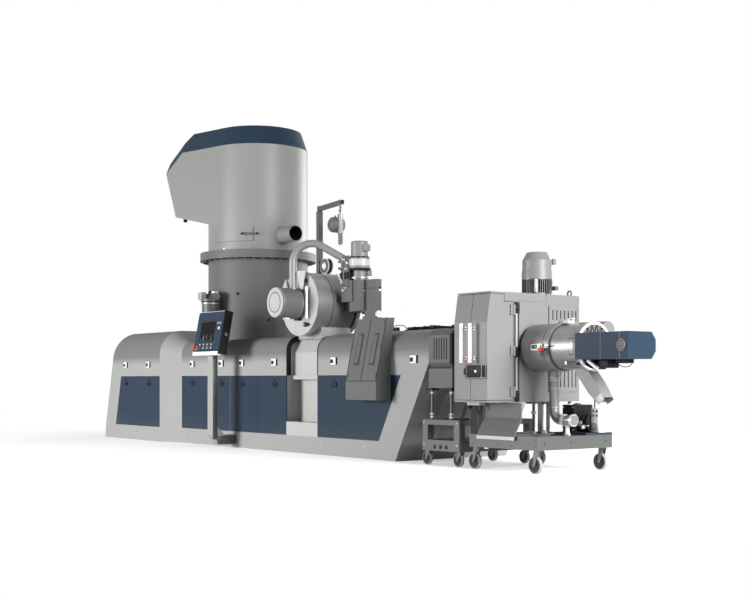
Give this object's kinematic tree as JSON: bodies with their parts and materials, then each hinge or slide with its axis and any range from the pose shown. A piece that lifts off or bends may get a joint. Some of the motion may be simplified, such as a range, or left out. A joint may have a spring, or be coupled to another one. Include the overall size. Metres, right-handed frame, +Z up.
{
  "type": "plastic pelletizing machine",
  "caption": "Recycling extruder line: housed base with a cutter-compactor drum, melt filter, jib crane, valve cabinet and pelletizer head on castered trolleys.",
  "frame": {"origin": "on the floor under the axis of the cutter-compactor drum, on the underside of the plinth", "axes": "+X along the line towards the pelletizer, -Y towards the operator's side, +Z up"},
  "size_m": [11.471, 2.48, 4.86],
  "materials": {
    "body_grey": "satin light grey powder coat",
    "panel_blue": "satin navy powder coat",
    "frame_grey": "satin mid grey paint",
    "stainless": "brushed stainless steel",
    "black_plastic": "matt black plastic",
    "white_plastic": "white enamel",
    "caster_grey": "grey solid rubber tread"
  },
  "bodies": {
    "machine": {"barrel_lid": "black_plastic", "bay_housing": "body_grey", "cabinet_body": "body_grey", "cabinet_motor": "frame_grey", "cabinet_top": "body_grey", "cart_frame": "frame_grey", "crane_post": "frame_grey", "discharge_chute": "body_grey", "drive_cover": "panel_blue", "drum_shell": "body_grey", "drum_side_unit": "frame_grey", "exhaust_port": "body_grey", "filter_drive": "stainless", "filter_hose": "stainless", "filter_housing": "stainless", "filter_motor": "frame_grey", "filter_pedestal": "body_grey", "guard_box": "body_grey", "head_cap": "panel_blue", "head_shell": "body_grey", "inspection_hatch": "body_grey", "left_hood": "body_grey", "left_housing": "body_grey", "lower_panels": "panel_blue", "melt_housing": "stainless", "mid_hood": "body_grey", "mid_housing": "body_grey", "operator_panel": "panel_blue", "outlet_spout": "body_grey", "panel_arm": "body_grey", "pelletizer_chamber": "stainless", "pelletizer_end": "white_plastic", "plinth": "body_grey", "right_hood": "body_grey", "right_housing": "body_grey", "scrap_chute": "body_grey", "transition_housing": "body_grey", "trolley_frame": "frame_grey", "water_pipe": "stainless", "water_unit": "black_plastic"},
    "jib": {"jib_arm": "frame_grey", "spring_balancer": "stainless"},
    "door_right": {"cabinet_door_right": "body_grey"},
    "door_left": {"cabinet_door_left": "body_grey"},
    "swivel_trolley_near_left": {"caster_fork_trolley_near_left": "stainless"},
    "wheel_trolley_near_left": {"caster_wheel_trolley_near_left": "caster_grey"},
    "swivel_trolley_near_right": {"caster_fork_trolley_near_right": "stainless"},
    "wheel_trolley_near_right": {"caster_wheel_trolley_near_right": "caster_grey"},
    "swivel_trolley_far_left": {"caster_fork_trolley_far_left": "stainless"},
    "wheel_trolley_far_left": {"caster_wheel_trolley_far_left": "caster_grey"},
    "swivel_trolley_far_right": {"caster_fork_trolley_far_right": "stainless"},
    "wheel_trolley_far_right": {"caster_wheel_trolley_far_right": "caster_grey"},
    "swivel_cart_near_left": {"caster_fork_cart_near_left": "stainless"},
    "wheel_cart_near_left": {"caster_wheel_cart_near_left": "caster_grey"},
    "swivel_cart_near_right": {"caster_fork_cart_near_right": "stainless"},
    "wheel_cart_near_right": {"caster_wheel_cart_near_right": "caster_grey"},
    "swivel_cart_far_left": {"caster_fork_cart_far_left": "stainless"},
    "wheel_cart_far_left": {"caster_wheel_cart_far_left": "caster_grey"},
    "swivel_cart_far_right": {"caster_fork_cart_far_right": "stainless"},
    "wheel_cart_far_right": {"caster_wheel_cart_far_right": "caster_grey"}
  },
  "joints": [
    {"name": "jib_swivel", "type": "hinge", "parent": "machine", "child": "jib", "pos_m": [1.85, -0.105, 3.45], "axis": [0, 0, 1], "range_deg": [-60, 75]},
    {"name": "door_right_hinge", "type": "hinge", "parent": "machine", "child": "door_right", "pos_m": [6.59616, -0.801, 1.2], "axis": [0, 0, 1], "range_deg": [0, 90]},
    {"name": "door_left_hinge", "type": "hinge", "parent": "machine", "child": "door_left", "pos_m": [6.03184, -0.801, 1.2], "axis": [0, 0, 1], "range_deg": [-45, 0]},
    {"name": "caster_swivel_trolley_near_left", "type": "hinge", "parent": "machine", "child": "swivel_trolley_near_left", "pos_m": [6.16, -0.945, 0.25], "axis": [0, 0, 1], "continuous": true},
    {"name": "caster_roll_trolley_near_left", "type": "hinge", "parent": "swivel_trolley_near_left", "child": "wheel_trolley_near_left", "pos_m": [6.126, -0.945, 0.093], "axis": [0, 1, 0], "continuous": true},
    {"name": "caster_swivel_trolley_near_right", "type": "hinge", "parent": "machine", "child": "swivel_trolley_near_right", "pos_m": [7.105, -0.945, 0.25], "axis": [0, 0, 1], "continuous": true},
    {"name": "caster_roll_trolley_near_right", "type": "hinge", "parent": "swivel_trolley_near_right", "child": "wheel_trolley_near_right", "pos_m": [7.071, -0.945, 0.093], "axis": [0, 1, 0], "continuous": true},
    {"name": "caster_swivel_trolley_far_left", "type": "hinge", "parent": "machine", "child": "swivel_trolley_far_left", "pos_m": [6.16, 0.06, 0.25], "axis": [0, 0, 1], "continuous": true},
    {"name": "caster_roll_trolley_far_left", "type": "hinge", "parent": "swivel_trolley_far_left", "child": "wheel_trolley_far_left", "pos_m": [6.126, 0.06, 0.093], "axis": [0, 1, 0], "continuous": true},
    {"name": "caster_swivel_trolley_far_right", "type": "hinge", "parent": "machine", "child": "swivel_trolley_far_right", "pos_m": [7.105, 0.06, 0.25], "axis": [0, 0, 1], "continuous": true},
    {"name": "caster_roll_trolley_far_right", "type": "hinge", "parent": "swivel_trolley_far_right", "child": "wheel_trolley_far_right", "pos_m": [7.071, 0.06, 0.093], "axis": [0, 1, 0], "continuous": true},
    {"name": "caster_swivel_cart_near_left", "type": "hinge", "parent": "machine", "child": "swivel_cart_near_left", "pos_m": [5.32, -0.935, 0.175], "axis": [0, 0, 1], "continuous": true},
    {"name": "caster_roll_cart_near_left", "type": "hinge", "parent": "swivel_cart_near_left", "child": "wheel_cart_near_left", "pos_m": [5.286, -0.935, 0.08], "axis": [0, 1, 0], "continuous": true},
    {"name": "caster_swivel_cart_near_right", "type": "hinge", "parent": "machine", "child": "swivel_cart_near_right", "pos_m": [5.87, -0.935, 0.175], "axis": [0, 0, 1], "continuous": true},
    {"name": "caster_roll_cart_near_right", "type": "hinge", "parent": "swivel_cart_near_right", "child": "wheel_cart_near_right", "pos_m": [5.836, -0.935, 0.08], "axis": [0, 1, 0], "continuous": true},
    {"name": "caster_swivel_cart_far_left", "type": "hinge", "parent": "machine", "child": "swivel_cart_far_left", "pos_m": [5.32, 0.105, 0.175], "axis": [0, 0, 1], "continuous": true},
    {"name": "caster_roll_cart_far_left", "type": "hinge", "parent": "swivel_cart_far_left", "child": "wheel_cart_far_left", "pos_m": [5.286, 0.105, 0.08], "axis": [0, 1, 0], "continuous": true},
    {"name": "caster_swivel_cart_far_right", "type": "hinge", "parent": "machine", "child": "swivel_cart_far_right", "pos_m": [5.87, 0.105, 0.175], "axis": [0, 0, 1], "continuous": true},
    {"name": "caster_roll_cart_far_right", "type": "hinge", "parent": "swivel_cart_far_right", "child": "wheel_cart_far_right", "pos_m": [5.836, 0.105, 0.08], "axis": [0, 1, 0], "continuous": true}
  ]
}
